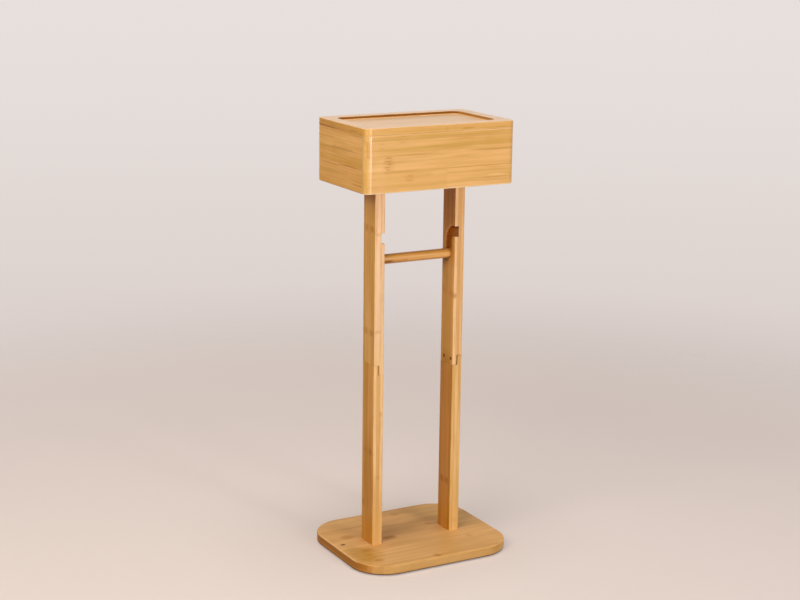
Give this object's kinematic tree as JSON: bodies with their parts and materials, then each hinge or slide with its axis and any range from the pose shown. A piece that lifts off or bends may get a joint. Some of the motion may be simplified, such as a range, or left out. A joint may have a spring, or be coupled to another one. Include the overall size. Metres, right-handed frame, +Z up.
{
  "type": "toilet roll holder with shelf",
  "caption": "Free-standing bamboo toilet roll stand: rounded base, jointed legs with slots for a lift-out bar, and a box with a hinged tray lid.",
  "frame": {"origin": "on the floor under the middle of the base plate", "axes": "+Z up, -Y towards the front, +X to the right as seen from the front"},
  "size_m": [0.26, 0.214, 0.667],
  "materials": {
    "base_bamboo": "satin clear lacquer",
    "leg_bamboo": "satin clear lacquer",
    "box_bamboo": "satin clear lacquer",
    "lid_bamboo": "satin clear lacquer",
    "bar_bamboo": "satin clear lacquer",
    "dowel_wood": "raw",
    "dark_screw": "black oxide",
    "hinge_metal": "nickel plated",
    "hinge_screw": "nickel plated",
    "pad_foam": "matt foam"
  },
  "bodies": {
    "stand": {"base_plate": "base_bamboo", "base_pads": "pad_foam", "lower_leg_left": "leg_bamboo", "lower_leg_right": "leg_bamboo", "upper_leg_left": "leg_bamboo", "upper_leg_right": "leg_bamboo", "box_front_board": "box_bamboo", "box_back_board": "box_bamboo", "box_left_board": "box_bamboo", "box_right_board": "box_bamboo", "box_floor": "box_bamboo", "left_hinge_box_leaf": "hinge_metal", "right_hinge_box_leaf": "hinge_metal", "left_hinge_pin": "hinge_metal", "right_hinge_pin": "hinge_metal", "lap_joint_screws": "dark_screw", "base_screws": "dark_screw", "box_floor_screws": "dark_screw", "hinge_box_leaf_screws": "hinge_screw", "leg_foot_dowels": "dowel_wood", "leg_top_dowels": "dowel_wood", "box_corner_dowels": "dowel_wood"},
    "lid": {"tray_lid": "lid_bamboo", "left_hinge_lid_leaf": "hinge_metal", "right_hinge_lid_leaf": "hinge_metal", "hinge_lid_leaf_screws": "hinge_screw"},
    "bar": {"roller_bar": "bar_bamboo"}
  },
  "joints": [
    {"name": "lid_hinge", "type": "hinge", "parent": "stand", "child": "lid", "pos_m": [0, 0.07995, 0.65687], "axis": [-1, 0, 0], "range_deg": [0, 100]},
    {"name": "bar_lift", "type": "slide", "parent": "stand", "child": "bar", "axis": [0, 0, 1], "range_m": [0, 0.0205]}
  ]
}
